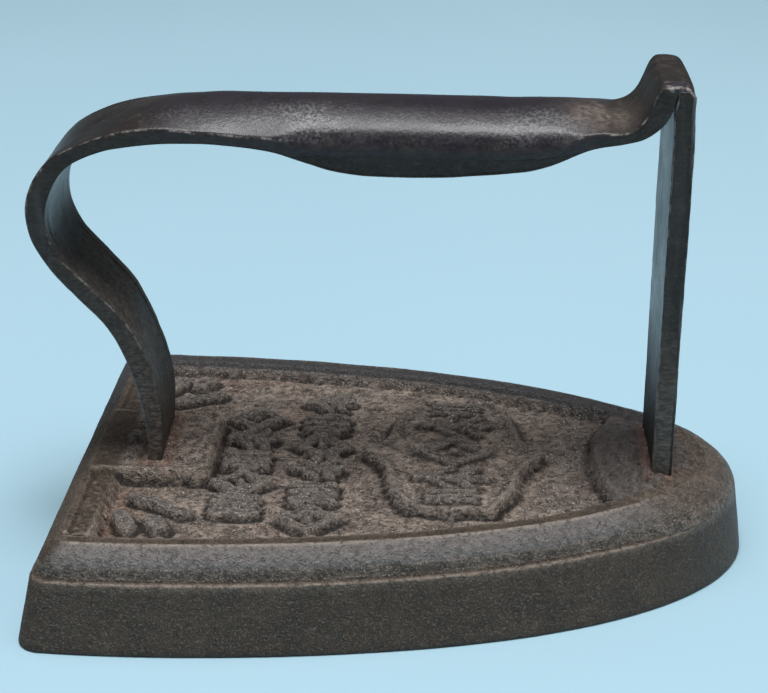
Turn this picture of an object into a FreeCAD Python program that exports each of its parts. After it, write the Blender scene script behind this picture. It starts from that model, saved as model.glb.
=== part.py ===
import FreeCAD
import Part
import math
import os

# Sad iron: a cast-iron body and a handle forged from flat bar. Millimetres, +Z up.
# Stations along X are measured from the heel line (0) towards the nose, and every piece is
# shifted by ORIGIN_STATION at the end, so that the origin lies under the middle of the iron.

Vec = FreeCAD.Vector

# ---- casting: plan outline, at the height of the step round its side ----
BASE_LENGTH = 150.0
OUTLINE_POLES = [(0.0, 53.0), (37.5, 55.9), (75.0, 49.1), (117.0, 47.2), (150.0, 22.5), (150.0, 0.0)]
OUTLINE_SPANS = 12
# Stretch of the outline's parameter that holds the heel corners, and halvings of the search in it.
HEEL_STRETCH = (-0.2, 0.6)
HALVINGS = 40
HEEL_CORNER = 4.5
CORNER_SHARPENING = 0.35
SMALLEST_CORNER = 2.0

# ---- casting: border moulding, as (inset from the outline, height) from the sole upwards ----
BAND_DRAFT = 3.1
STEP_HEIGHT = 15.1
RIM_HEIGHT = 22.0
RIM_SECTION = [(-BAND_DRAFT, 0.0), (0.0, STEP_HEIGHT), (1.1, 15.5), (1.5, 17.6), (2.6, 20.0),
               (4.1, 21.2), (6.0, RIM_HEIGHT)]

# ---- casting: sunken panel ----
PANEL_HEIGHT = 18.8
PANEL_SIDE_INSET = 9.8
PANEL_HEEL_STATION = 12.0
PANEL_FRONT_STATION = 118.0
PANEL_FRONT_RADIUS = 48.0
PANEL_DRAFT = 1.0
# How far a block fused to the panel reaches down into it, and the cutter up past the rim.
BLOCK_ROOT = 0.5
CUTTER_RISE = 4.0

# ---- casting: raised pads under the two feet of the handle ----
PAD_DRAFT = 1.6
REAR_PAD_HEEL = 9.0
REAR_PAD_FRONT = 32.0
REAR_PAD_HALF_WIDTH = 15.0
REAR_PAD_CHAMFER = 3.0
REAR_PAD_HEIGHT = 22.6
FRONT_PAD_STATION = 132.4
FRONT_PAD_HEIGHT = 23.8
# Levels of the dome: half axis along X, half axis across, height.
FRONT_PAD_LEVELS = [(11.0, 18.0, RIM_HEIGHT - BLOCK_ROOT), (8.5, 15.5, 23.0), (5.0, 13.0, FRONT_PAD_HEIGHT)]

# ---- casting: plaque and ornament on the panel ----
PLAQUE_STATION = 87.0
PLAQUE_HEIGHT = 20.9
# Front far quarter of the plaque about its middle, from its point to its flat end.
PLAQUE_QUARTER = [(21.0, 0.0), (17.0, 4.5), (14.5, 12.0), (12.8, 20.0), (9.0, 27.0)]
PLAQUE_LOZENGE = (7.0, 13.0)
PLAQUE_LOZENGE_RISE = 0.7
ORNAMENT_HEIGHT = 20.2
ORNAMENT_DRAFT = 0.6
ORNAMENT_LOZENGE = (5.2, 4.4)
# Columns of lozenges: station, then the places of the lozenges across the iron.
ORNAMENT_COLUMNS = [(39.5, (-27.0, -16.5, -5.5, 5.5, 16.5)),
                    (56.5, (-31.0, -19.5, -8.0, 3.5, 15.0, 26.5))]
CORNER_LOZENGE = (6.0, 5.0)
CORNER_LOZENGE_PLACE = (22.0, 28.0)

# ---- handle ----
TANG_BOTTOM = 9.0
REAR_LEG_HALF_WIDTH = 11.8
REAR_LEG_TAPER_START = 55.0
REAR_LEG_TAPER_END = 95.0
REAR_LEG_REACH = (-20.0, 40.0)
GRIP_HALF_WIDTH = 13.0
GRIP_START = 22.0
GRIP_END = 117.0
HANDLE_OVERHANG = 4.7
REAR_LEG_OUTER = [(18.6, 22.6), (18.2, 32.5), (15.0, 47.1), (6.4, 60.4), (-2.3, 71.2),
                  (-HANDLE_OVERHANG, 79.5), (-1.1, 90.9), (9.9, 97.8), (GRIP_START, 100.5)]
REAR_LEG_INNER = [(21.6, 22.6), (22.3, 32.6), (19.5, 47.9), (10.0, 62.1), (0.8, 73.1),
                  (-0.4, 79.5), (3.1, 89.3), (11.5, 94.7), (GRIP_START, 96.9)]
GRIP_WALL = 2.6
# Full inward lean of a turned-down edge, and the depth of section at which it is reached.
FLANGE_LEAN = 3.2
FULL_DEPTH = 8.0
ROOF_THICKNESS = 3.4
LEAST_HOLLOW = 0.3
CROWN_OVER_ROOF = 0.2
LEAST_ROOF_RISE = 0.05
# Grip sections: station, crown height, edge height, lip height.
GRIP_SECTIONS = [(GRIP_START, 100.5, 100.4, 96.9), (34.0, 103.2, 99.5, 97.3), (46.0, 104.3, 99.0, 96.3),
                 (56.0, 104.4, 98.9, 93.0), (75.0, 104.4, 98.9, 90.1), (95.0, 104.2, 99.0, 91.7),
                 (108.0, 103.0, 99.4, 94.5), (GRIP_END, 101.4, 100.9, 98.0)]
LEG_TOP = 111.4
LEG_REAR_STATION = 130.6
LEG_THICKNESS = 4.5
LEG_BEVEL = 1.1
LEG_HALF_WIDTH_BOTTOM = 12.0
NECK_TOP = [(GRIP_END, 101.4), (120.4, 101.2), (123.6, 103.0), (126.0, 107.2), (128.2, LEG_TOP)]
NECK_UNDER = [(GRIP_END, 98.0), (122.3, 99.1), (127.5, 101.9), (129.8, 104.9), (LEG_REAR_STATION, 108.2)]

ORIGIN_STATION = (BASE_LENGTH + BAND_DRAFT - HANDLE_OVERHANG) / 2.0


def outline_point(t):
    """Point on the far half of the outline; t runs from the heel (0) to the nose (1)."""
    order = len(OUTLINE_POLES) - 1
    weights = [math.comb(order, i) * t ** i * (1.0 - t) ** (order - i) for i in range(order + 1)]
    x = sum(w * pole[0] for w, pole in zip(weights, OUTLINE_POLES))
    y = sum(w * pole[1] for w, pole in zip(weights, OUTLINE_POLES))
    return x, y


def inset_point(t, inset):
    """Point on the outline moved inwards by inset, square to the outline."""
    step = 1e-4
    x0, y0 = outline_point(t - step)
    x1, y1 = outline_point(t + step)
    x, y = outline_point(t)
    length = math.hypot(x1 - x0, y1 - y0)
    return x + inset * (y1 - y0) / length, y - inset * (x1 - x0) / length


def parameter_at(station, inset):
    """Parameter where the inset outline passes a station near the heel."""
    low, high = HEEL_STRETCH
    for _ in range(HALVINGS):
        middle = (low + high) / 2.0
        if inset_point(middle, inset)[0] < station:
            low = middle
        else:
            high = middle
    return low


def ring(inset, height, heel=None):
    """Closed wire round the casting: heel line, two rounded corners and the curved sides."""
    heel = inset if heel is None else heel
    corner = max(HEEL_CORNER - CORNER_SHARPENING * inset, SMALLEST_CORNER)
    start = parameter_at(heel + corner, inset)
    places = [start + (1.0 - start) * i / OUTLINE_SPANS for i in range(OUTLINE_SPANS + 1)]
    far = [inset_point(t, inset) for t in places]
    near = [(x, -y) for x, y in reversed(far[:-1])]
    points = [Vec(x, y, height) for x, y in far + near]
    sides = Part.BSplineCurve()
    sides.interpolate(Points=points)
    side_y = points[0].y
    far_corner = corner_arc(heel, side_y, corner, height, 1.0)
    near_corner = corner_arc(heel, side_y, corner, height, -1.0)
    heel_line = Part.makeLine(Vec(heel, corner - side_y, height), Vec(heel, side_y - corner, height))
    return Part.Wire([heel_line, far_corner, sides.toShape(), near_corner])


def corner_arc(heel, side_y, radius, height, side):
    """Quarter-round heel corner, on the far side (side = 1) or the near side (side = -1)."""
    centre = Vec(heel + radius, side * (side_y - radius), height)
    on_heel = centre + Vec(-radius, 0.0, 0.0)
    on_side = centre + Vec(0.0, side * radius, 0.0)
    half = radius * math.sqrt(0.5)
    middle = centre + Vec(-half, side * half, 0.0)
    if side > 0:
        return Part.Arc(on_heel, middle, on_side).toShape()
    return Part.Arc(on_side, middle, on_heel).toShape()


def panel_cutter():
    """The space of the sunken panel: inset outline with an arched front wall."""
    top = RIM_HEIGHT + CUTTER_RISE
    slope = PANEL_DRAFT * (top - PANEL_HEIGHT) / (RIM_HEIGHT - PANEL_HEIGHT)
    side = PANEL_SIDE_INSET + PANEL_DRAFT
    heel = PANEL_HEEL_STATION + PANEL_DRAFT
    floor = ring(side, PANEL_HEIGHT, heel)
    space = Part.makeLoft([floor, ring(side - slope, top, heel - slope)], True, True)
    centre = Vec(PANEL_FRONT_STATION + PANEL_FRONT_RADIUS, 0.0, PANEL_HEIGHT - BLOCK_ROOT)
    front = Part.makeCone(PANEL_FRONT_RADIUS + PANEL_DRAFT, PANEL_FRONT_RADIUS,
                          top - PANEL_HEIGHT + 2.0 * BLOCK_ROOT, centre)
    return space.cut(front)


def polygon(points, height):
    """Closed polygon at a height."""
    corners = [Vec(x, y, height) for x, y in points]
    return Part.makePolygon(corners + [corners[0]])


def raised_block(points, bottom, top, draft):
    """Low block on a closed outline of points about its own middle, narrower at the top."""
    cx = sum(x for x, y in points) / len(points)
    cy = sum(y for x, y in points) / len(points)
    reach = max(math.hypot(x - cx, y - cy) for x, y in points)
    grow = 1.0 + draft / reach
    foot = [(cx + (x - cx) * grow, cy + (y - cy) * grow) for x, y in points]
    return Part.makeLoft([polygon(foot, bottom), polygon(points, top)], True, True)


def rear_pad():
    """Raised pad round the rear foot, its two front corners cut off."""
    half = REAR_PAD_HALF_WIDTH
    front = REAR_PAD_FRONT
    cut = REAR_PAD_CHAMFER
    far_side = [(front, half - cut), (front - cut, half), (REAR_PAD_HEEL, half)]
    near_side = [(x, -y) for x, y in reversed(far_side)]
    return raised_block(near_side + far_side, PANEL_HEIGHT - BLOCK_ROOT, REAR_PAD_HEIGHT, PAD_DRAFT)


def ellipse_wire(station, along, across, height):
    """Closed ellipse round a station; across (along Y) is the longer half axis."""
    centre = Vec(station, 0.0, height)
    curve = Part.Ellipse(centre + Vec(0.0, across, 0.0), centre + Vec(along, 0.0, 0.0), centre)
    return Part.Wire([curve.toShape()])


def front_pad():
    """Low dome round the front foot, running out into the border moulding."""
    levels = [ellipse_wire(FRONT_PAD_STATION, *level) for level in FRONT_PAD_LEVELS]
    return Part.makeLoft(levels, True, True)


def plaque():
    """Bracket-shaped plaque with a point fore and aft and flat ends near and far."""
    far_front = PLAQUE_QUARTER
    far_rear = [(-x, y) for x, y in reversed(far_front)]
    near_rear = [(-x, -y) for x, y in far_front[1:]]
    near_front = [(x, -y) for x, y in reversed(far_front[1:])]
    outline = [(PLAQUE_STATION + x, y) for x, y in far_front + far_rear + near_rear + near_front]
    return raised_block(outline, PANEL_HEIGHT - BLOCK_ROOT, PLAQUE_HEIGHT, PAD_DRAFT)


def lozenge(station, y, half_axes, bottom, top):
    """Raised diamond of the cast ornament."""
    along, across = half_axes
    corners = [(station - along, y), (station, y - across), (station + along, y), (station, y + across)]
    return raised_block(corners, bottom, top, ORNAMENT_DRAFT)


def ornaments():
    """Two columns of lozenges, one in each rear corner of the panel and a large one on the plaque."""
    places = [(station, y, ORNAMENT_LOZENGE) for station, rows in ORNAMENT_COLUMNS for y in rows]
    station, offset = CORNER_LOZENGE_PLACE
    places += [(station, -offset, CORNER_LOZENGE), (station, offset, CORNER_LOZENGE)]
    pieces = [lozenge(*place, PANEL_HEIGHT - BLOCK_ROOT, ORNAMENT_HEIGHT) for place in places]
    pieces.append(lozenge(PLAQUE_STATION, 0.0, PLAQUE_LOZENGE,
                          PLAQUE_HEIGHT - BLOCK_ROOT, PLAQUE_HEIGHT + PLAQUE_LOZENGE_RISE))
    return pieces


def casting():
    """The whole cast body, before the sockets of the handle are cut."""
    rings = [ring(inset, height) for inset, height in RIM_SECTION]
    body = Part.makeLoft(rings, True, True)
    body = body.cut(panel_cutter())
    additions = [rear_pad(), front_pad(), plaque()] + ornaments()
    for addition in additions:
        body = body.fuse(addition)
    return body


def spline_edge(points):
    """Smooth edge in the XZ plane through points."""
    curve = Part.BSplineCurve()
    curve.interpolate(Points=[Vec(x, 0.0, z) for x, z in points])
    return curve.toShape()


def line_xz(first, last):
    """Straight edge in the XZ plane."""
    return Part.makeLine(Vec(first[0], 0.0, first[1]), Vec(last[0], 0.0, last[1]))


def slab(edges, half_width):
    """Solid of a closed XZ profile, centred across Y."""
    face = Part.Face(Part.Wire(edges))
    face.translate(Vec(0.0, -half_width, 0.0))
    return face.extrude(Vec(0.0, 2.0 * half_width, 0.0))


def rear_leg():
    """Flat bar from the tang in the casting, back over the heel and forward to the grip."""
    outer = REAR_LEG_OUTER
    inner = REAR_LEG_INNER
    tang_outer = (outer[0][0], TANG_BOTTOM)
    tang_inner = (inner[0][0], TANG_BOTTOM)
    edges = [line_xz(tang_outer, outer[0]), spline_edge(outer), line_xz(outer[-1], inner[-1]),
             spline_edge(inner), line_xz(inner[0], tang_inner), line_xz(tang_inner, tang_outer)]
    return slab(edges, GRIP_HALF_WIDTH).common(rear_leg_width())


def rear_leg_width():
    """Front-view outline of the rear leg: narrow below, widening to the grip."""
    narrow = REAR_LEG_HALF_WIDTH
    wide = GRIP_HALF_WIDTH
    side = [(narrow, 0.0), (narrow, REAR_LEG_TAPER_START), (wide, REAR_LEG_TAPER_END), (wide, LEG_TOP)]
    outline = side + [(-y, z) for y, z in reversed(side)]
    rear, front = REAR_LEG_REACH
    corners = [Vec(rear, y, z) for y, z in outline]
    face = Part.Face(Part.makePolygon(corners + [corners[0]]))
    return face.extrude(Vec(front - rear, 0.0, 0.0))


def arc_edge(first, middle, last):
    """Arc through three points."""
    return Part.Arc(first, middle, last).toShape()


def grip_section(station, crown, edge, lip):
    """Section of the grip: crowned bar whose two edges turn down and a little inwards."""
    half = GRIP_HALF_WIDTH
    depth = edge - lip
    lean = FLANGE_LEAN * min(depth / FULL_DEPTH, 1.0)
    roof = lip + max(depth - ROOF_THICKNESS, LEAST_HOLLOW)
    roof_top = roof + max(crown - edge - CROWN_OVER_ROOF, LEAST_ROOF_RISE)

    def pair(y, z):
        """The same point of the section on the far side and on the near side."""
        return Vec(station, y, z), Vec(station, -y, z)

    edge_far, edge_near = pair(half, edge)
    lip_far, lip_near = pair(half - lean, lip)
    inner_far, inner_near = pair(half - lean - GRIP_WALL, lip)
    roof_far, roof_near = pair(half - GRIP_WALL - 0.5 * lean, roof)
    edges = [arc_edge(edge_near, Vec(station, 0.0, crown), edge_far),
             Part.makeLine(edge_far, lip_far),
             Part.makeLine(lip_far, inner_far),
             Part.makeLine(inner_far, roof_far),
             arc_edge(roof_far, Vec(station, 0.0, roof_top), roof_near),
             Part.makeLine(roof_near, inner_near),
             Part.makeLine(inner_near, lip_near),
             Part.makeLine(lip_near, edge_near)]
    return Part.Wire(edges)


def grip():
    """Hand grip: the middle of the bar, swaged to a crowned shell open underneath."""
    sections = [grip_section(*values) for values in GRIP_SECTIONS]
    return Part.makeLoft(sections, True, False)


def front_neck():
    """End of the bar, swept up and over to the front leg."""
    top_of_leg = (LEG_REAR_STATION, LEG_TOP)
    edges = [spline_edge(NECK_TOP), line_xz(NECK_TOP[-1], top_of_leg), line_xz(top_of_leg, NECK_UNDER[-1]),
             spline_edge(NECK_UNDER), line_xz(NECK_UNDER[0], NECK_TOP[0])]
    return slab(edges, GRIP_HALF_WIDTH)


def leg_section(height, half_width, front):
    """Rectangle across the front leg."""
    rear = LEG_REAR_STATION
    corners = [(rear, -half_width), (front, -half_width), (front, half_width), (rear, half_width)]
    return polygon(corners, height)


def front_leg():
    """Upright bar under the neck, bevelled at its top and tapering a little to its foot."""
    front = LEG_REAR_STATION + LEG_THICKNESS
    sections = [leg_section(TANG_BOTTOM, LEG_HALF_WIDTH_BOTTOM, front),
                leg_section(FRONT_PAD_HEIGHT, LEG_HALF_WIDTH_BOTTOM, front),
                leg_section(LEG_TOP - LEG_BEVEL, GRIP_HALF_WIDTH, front),
                leg_section(LEG_TOP, GRIP_HALF_WIDTH, front - LEG_BEVEL)]
    return Part.makeLoft(sections, True, True)


def save(name, shape):
    """Shift a piece to the origin of the part, check it and write its STEP file."""
    shape = shape.removeSplitter()
    shape.translate(Vec(-ORIGIN_STATION, 0.0, 0.0))
    box = shape.BoundBox
    print(name, "solids", len(shape.Solids), "valid", shape.isValid(), "mm3", round(shape.Volume))
    print("  box", [round(v, 2) for v in (box.XMin, box.YMin, box.ZMin, box.XMax, box.YMax, box.ZMax)])
    shape.Solids[0].exportStep("parts/" + name + ".step")


def main():
    """Build the five pieces; the sockets of the casting are the shapes of the two tangs."""
    os.makedirs("parts", exist_ok=True)
    rear = rear_leg()
    front = front_leg()
    body = casting().cut(rear).cut(front)
    save("iron_body", body)
    save("rear_leg", rear)
    save("grip", grip())
    save("front_neck", front_neck())
    save("front_leg", front)


main()
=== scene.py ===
import math

import bpy
import bmesh
import numpy as np
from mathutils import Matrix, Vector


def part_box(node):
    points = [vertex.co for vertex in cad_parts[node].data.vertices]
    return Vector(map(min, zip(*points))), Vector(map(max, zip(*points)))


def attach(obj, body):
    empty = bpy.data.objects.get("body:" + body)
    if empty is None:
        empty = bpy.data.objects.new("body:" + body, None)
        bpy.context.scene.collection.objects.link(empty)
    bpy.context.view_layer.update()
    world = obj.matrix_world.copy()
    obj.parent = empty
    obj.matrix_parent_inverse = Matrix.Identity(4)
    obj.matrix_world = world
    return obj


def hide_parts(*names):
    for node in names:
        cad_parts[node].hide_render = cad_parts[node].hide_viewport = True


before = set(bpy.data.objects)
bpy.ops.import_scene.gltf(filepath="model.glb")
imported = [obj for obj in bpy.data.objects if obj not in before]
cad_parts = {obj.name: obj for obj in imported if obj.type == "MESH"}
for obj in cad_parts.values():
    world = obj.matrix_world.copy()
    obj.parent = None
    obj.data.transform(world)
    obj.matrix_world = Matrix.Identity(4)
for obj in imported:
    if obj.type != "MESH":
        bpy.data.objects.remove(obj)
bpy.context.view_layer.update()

# Sizes below are in millimetres. Stations run along X from the heel line of the casting (0)
# towards its nose, as in the CAD model; MM and the heel's place in the frame turn them into metres.
# A pair named as a range is where a change begins and where it is complete.
MM = 0.001
BAND_DRAFT = 3.1
body_low, body_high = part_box("iron_body")
leg_low, leg_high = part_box("front_leg")
HEEL = body_low.x / MM + BAND_DRAFT
LENGTH = (body_high.x - body_low.x) / MM - 2.0 * BAND_DRAFT
TOP = leg_high.z / MM


# ---- view and light

LENS = 87.6
CAMERA_STATION = 94.46
CAMERA_Y = -380.87
CAMERA_HEIGHT = 215.84
CAMERA_DOWN = 23.874
CAMERA_TURN = 3.524
# Area lights: name, place, target, size, power and colour, in metres and watts.
LIGHTS = [("key", (0.0, -0.14, 1.22), (0.0, 0.0, 0.04), 0.5, 13.0, (0.97, 0.98, 1.0)),
          ("side", (1.05, -0.35, 0.75), (0.0, 0.0, 0.03), 0.9, 2.2, (1.0, 0.93, 0.84)),
          ("overhead", (0.0, 0.15, 2.2), (0.0, 0.15, 0.0), 2.2, 26.0, (1.0, 0.99, 0.97))]
SKY_COLOUR = (0.80, 0.88, 1.0, 1.0)
SKY_STRENGTH = 0.11


def placed(name, data):
    """New object in the scene."""
    thing = bpy.data.objects.new(name, data)
    bpy.context.scene.collection.objects.link(thing)
    return thing


def camera_and_lights():
    """The photograph's view, and soft studio light from above and from the sides."""
    data = bpy.data.cameras.new("camera")
    data.lens = LENS
    camera = placed("camera", data)
    camera.location = ((CAMERA_STATION + HEEL) * MM, CAMERA_Y * MM, CAMERA_HEIGHT * MM)
    camera.rotation_euler = (math.radians(90.0 - CAMERA_DOWN), 0.0, math.radians(CAMERA_TURN))
    bpy.context.scene.camera = camera

    for light in LIGHTS:
        area_light(*light)

    world = bpy.data.worlds.new("studio")
    world.use_nodes = True
    background = world.node_tree.nodes["Background"]
    background.inputs["Color"].default_value = SKY_COLOUR
    background.inputs["Strength"].default_value = SKY_STRENGTH
    bpy.context.scene.world = world
    bpy.context.scene.view_settings.view_transform = "Standard"


def area_light(name, place, target, size, power, colour):
    """Square soft light at a place, turned to face a target."""
    data = bpy.data.lights.new(name, "AREA")
    data.size = size
    data.energy = power
    data.color = colour
    light = placed(name, data)
    light.location = place
    way = [t - p for t, p in zip(target, place)]
    flat = math.hypot(way[0], way[1])
    light.rotation_euler = (math.atan2(flat, -way[2]), 0.0, math.atan2(-way[0], way[1]))


# ---- numbers and noise

LATTICE_SIZE = 32
LATTICE = np.random.RandomState(11).uniform(-1.0, 1.0, (LATTICE_SIZE,) * 3)
# How far apart two noises with neighbouring seeds are read, in lumps.
SEED_SHIFT = 7.31


def smooth(value, low, high):
    """0 below low, 1 above high, and an S-curve between; low may be the larger."""
    t = np.clip((value - low) / (high - low), 0.0, 1.0)
    return t * t * (3.0 - 2.0 * t)


def ridge(value, middle, half_width):
    """1 where a value is at the middle, fading evenly to both sides."""
    return np.exp(-((value - middle) / half_width) ** 2)


def noise(points, size, seed=0):
    """Smooth noise from -1 to 1 whose lumps are about size across; size may be one per axis."""
    q = points / np.asarray(size, float) + SEED_SHIFT * seed
    cell = np.floor(q).astype(int)
    part = q - cell
    part = part * part * (3.0 - 2.0 * part)
    total = np.zeros(len(points))
    for corner in range(8):
        step = np.array([corner & 1, corner >> 1 & 1, corner >> 2 & 1])
        weight = np.prod(np.where(step == 1, part, 1.0 - part), axis=1)
        index = (cell + step) % LATTICE_SIZE
        total += weight * LATTICE[index[:, 0], index[:, 1], index[:, 2]]
    return total


def fractal(points, size, octaves, seed=0):
    """Noise in several octaves, each half the size and half the height of the last."""
    total = np.zeros(len(points))
    for octave in range(octaves):
        total += noise(points, np.asarray(size, float) / 2 ** octave, seed + octave) * 0.5 ** octave
    return total


def layers(points, table):
    """Sum of noises, each given as its height, its size and its seed."""
    return sum(height * noise(points, size, seed) for height, size, seed in table)


def spline(knots, values, at):
    """Smooth curve through values at knots (Catmull-Rom), read at the places given."""
    knots = np.asarray(knots, float)
    values = np.asarray(values, float)
    slopes = np.gradient(values, knots, axis=0)
    i = np.clip(np.searchsorted(knots, at) - 1, 0, len(knots) - 2)
    span = knots[i + 1] - knots[i]
    t = ((at - knots[i]) / span)[:, None]
    span = span[:, None]
    rise = values[i] * (2 * t ** 3 - 3 * t ** 2 + 1) + values[i + 1] * (3 * t ** 2 - 2 * t ** 3)
    bend = slopes[i] * span * (t ** 3 - 2 * t ** 2 + t) + slopes[i + 1] * span * (t ** 3 - t ** 2)
    return rise + bend


def table_at(table, at):
    """Reads a table of (place, value) pairs, with straight runs between them."""
    return np.interp(at, *zip(*table))


# ---- meshes

CASTING_WELD = 1e-6
BAR_WELD = 1e-7


def skin(name, grid, close_ends, material, looks, reach):
    """Mesh of a grid of points (rows, columns, 3) in millimetres whose columns run round."""
    rows, columns = grid.shape[:2]
    index = np.arange(rows * columns).reshape(rows, columns)
    ahead = np.roll(index, -1, axis=1)
    quads = np.stack([index[:-1], ahead[:-1], ahead[1:], index[1:]], axis=-1).reshape(-1, 4)
    faces = quads.tolist()
    if close_ends:
        faces.append(index[0].tolist())
        faces.append(index[-1][::-1].tolist())
    places = (grid.reshape(-1, 3) + np.array([HEEL, 0.0, 0.0])) * MM
    mesh = bpy.data.meshes.new(name)
    mesh.from_pydata(places.tolist(), [], faces)
    mesh.polygons.foreach_set("use_smooth", [True] * len(mesh.polygons))
    mesh.materials.append(material)
    piece = placed(name, mesh)
    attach(piece, "root")
    paint(mesh, looks)
    weld(mesh, reach)
    return piece


def paint(mesh, looks):
    """Stores one number per point under each name, for the materials to read."""
    for name, value in looks.items():
        attribute = mesh.attributes.new(name, "FLOAT", "POINT")
        attribute.data.foreach_set("value", np.ascontiguousarray(value, np.float32).ravel())


def weld(mesh, reach):
    """Merges points closer than reach and turns the faces outwards."""
    work = bmesh.new()
    work.from_mesh(mesh)
    bmesh.ops.remove_doubles(work, verts=work.verts, dist=reach)
    bmesh.ops.recalc_face_normals(work, faces=work.faces)
    work.to_mesh(mesh)
    work.free()


def grid_normals(grid):
    """Unit normal at each point of a grid whose columns run round."""
    along = np.gradient(grid, axis=0)
    across = np.roll(grid, -1, axis=1) - np.roll(grid, 1, axis=1)
    normal = np.cross(across, along)
    return normal / np.maximum(np.linalg.norm(normal, axis=2, keepdims=True), 1e-9)


# ---- outline of the casting

OUTLINE_POLES = [(0.0, 53.0), (0.25, 55.9), (0.5, 49.1), (0.78, 47.2), (1.0, 22.5), (1.0, 0.0)]
HEEL_CORNER = 4.5
CORNER_SHARPENING = 0.35
SMALLEST_CORNER = 2.0
# The outline's parameter where a ring turns into the heel lies in this range.
HEEL_SEARCH = (-0.15, 0.4)
HEEL_SEARCH_POINTS = 400
SIDE_POINTS = 232
CORNER_POINTS = 12
HEEL_POINTS = 76
SPINE_REAR = 34.0
SPINE_FRONT = 112.0
OUTLINE_START = -0.12
OUTLINE_POINTS = 500

BEAD_INSET = 5.6
SOLE_EDGE = [(-2.4, 0.02), (-2.85, 0.25), (-3.0, 0.75)]
BAND_FOOT = (-3.0, 0.75)
BAND_RUN = 2.95
BAND_RISE = 14.0
BAND_ROWS = 10
STEP = [(0.02, 15.0), (0.16, 15.22), (0.42, 15.36), (0.8, 15.42), (1.12, 15.55), (1.3, 15.9)]
COVE = [(1.42, 16.4), (1.48, 16.9), (1.52, 17.4)]
BEAD = [(1.56, 17.7), (1.85, 18.8), (2.6, 20.0), (3.75, 21.0), (4.75, 21.6), (BEAD_INSET, 21.98)]
BEAD_KNOTS = [0.0, 0.17, 0.36, 0.6, 0.8, 1.0]
BEAD_ROWS = 15
# The moulding as it is worn and filled round the nose: (height, inset) above the band.
NOSE_MOULDING = [(15.0, -1.1), (16.5, -0.8), (18.0, -0.2), (19.5, 0.9), (20.8, 2.4), (21.6, 4.3),
                 (21.98, BEAD_INSET)]
NOSE_RANGE = (120.0, 138.0)
SOLE_SHARES = (0.0, 0.4, 0.8)
INNER_ROWS = 118


def outline(t):
    """Far half of the plan outline at parameters t, with its outward normals."""
    order = len(OUTLINE_POLES) - 1
    poles = np.array([(share * LENGTH, y) for share, y in OUTLINE_POLES])

    def curve(control, degree, at):
        weights = [math.comb(degree, i) * at ** i * (1.0 - at) ** (degree - i)
                   for i in range(degree + 1)]
        return sum(w[:, None] * p for w, p in zip(weights, control))

    point = curve(poles, order, t)
    way = curve(np.diff(poles, axis=0), order - 1, t)
    way /= np.linalg.norm(way, axis=1, keepdims=True)
    return point, np.stack([-way[:, 1], way[:, 0]], axis=1)


def ring(inset):
    """One turn round the casting at an inset from its outline, starting at the nose, as (x, y)."""
    corner = max(HEEL_CORNER - CORNER_SHARPENING * inset, SMALLEST_CORNER)
    probe = np.linspace(*HEEL_SEARCH, HEEL_SEARCH_POINTS)
    point, normal = outline(probe)
    start = np.interp(inset + corner, (point - inset * normal)[:, 0], probe)
    point, normal = outline(np.linspace(1.0, start, SIDE_POINTS))
    side = point - inset * normal
    side_y = side[-1, 1]
    turn = np.linspace(0.0, math.pi / 2.0, CORNER_POINTS + 2)[1:-1]
    arc_x = inset + corner * (1.0 - np.sin(turn))
    arc_y = side_y - corner * (1.0 - np.cos(turn))
    heel_y = np.linspace(side_y - corner, 0.0, HEEL_POINTS)
    heel = np.stack([np.full(HEEL_POINTS, float(inset)), heel_y], axis=1)
    half = np.concatenate([side, np.stack([arc_x, arc_y], axis=1), heel])
    back = half[-2:0:-1] * np.array([1.0, -1.0])
    return np.concatenate([half, back])


def border_section():
    """Outer face of the border from the sole up to the top of the bead, as (inset, height)."""
    band = [(BAND_FOOT[0] + BAND_RUN * k / BAND_ROWS, BAND_FOOT[1] + BAND_RISE * k / BAND_ROWS)
            for k in range(1, BAND_ROWS + 1)]
    turn = np.linspace(0.0, 1.0, BEAD_ROWS)[1:]
    return SOLE_EDGE + band + STEP + COVE + spline(BEAD_KNOTS, BEAD, turn).tolist()


def spine_points(boundary):
    """Where each point of a ring runs to: the middle line of the casting."""
    share = np.clip((boundary[:, 0] - BEAD_INSET) / (LENGTH - 2.0 * BEAD_INSET), 0.0, 1.0)
    x = SPINE_REAR + (SPINE_FRONT - SPINE_REAR) * share
    return np.stack([x, np.zeros(len(x))], axis=1)


def side_inset(x, y):
    """How far inside the curved sides each point lies."""
    point, _ = outline(np.linspace(OUTLINE_START, 1.0, OUTLINE_POINTS))
    spread = np.abs(y)
    best = np.full(len(x), np.inf)
    for side_x, side_y in point:
        best = np.minimum(best, np.hypot(x - side_x, spread - side_y))
    return best


# ---- raised ornament

# Every shape here is an inside distance: above 0 on the raised part, below 0 beside it.
FAR_OUTSIDE = -9.0
LOZENGE_EDGE_SLOPE = 0.75
LOZENGE_STUD = 1.1
LEAFLET_FEET = (-0.6, 0.1)
LEAFLET_REACH = 0.55
REAR_COLUMN = (40.0, [(-26.0, "bars"), (-15.5, "lozenge"), (-4.5, "bars"), (6.5, "leaf"),
                      (17.0, "lozenge")])
FRONT_COLUMN = (56.5, [(-31.0, "lozenge"), (-19.5, "bars"), (-8.0, "leaf"), (3.5, "lozenge"),
                       (15.0, "bars"), (27.0, "leaf")])
# Raised bars in the rear corners: first end, last end and half width, alike on both sides.
CORNER_STROKES = [((18.0, 24.0), (29.5, 30.0), 1.4), ((16.5, 32.5), (18.5, 36.5), 1.9),
                  ((23.5, 34.0), (25.5, 37.0), 2.1)]
PLAQUE_STATION = 87.0
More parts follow.
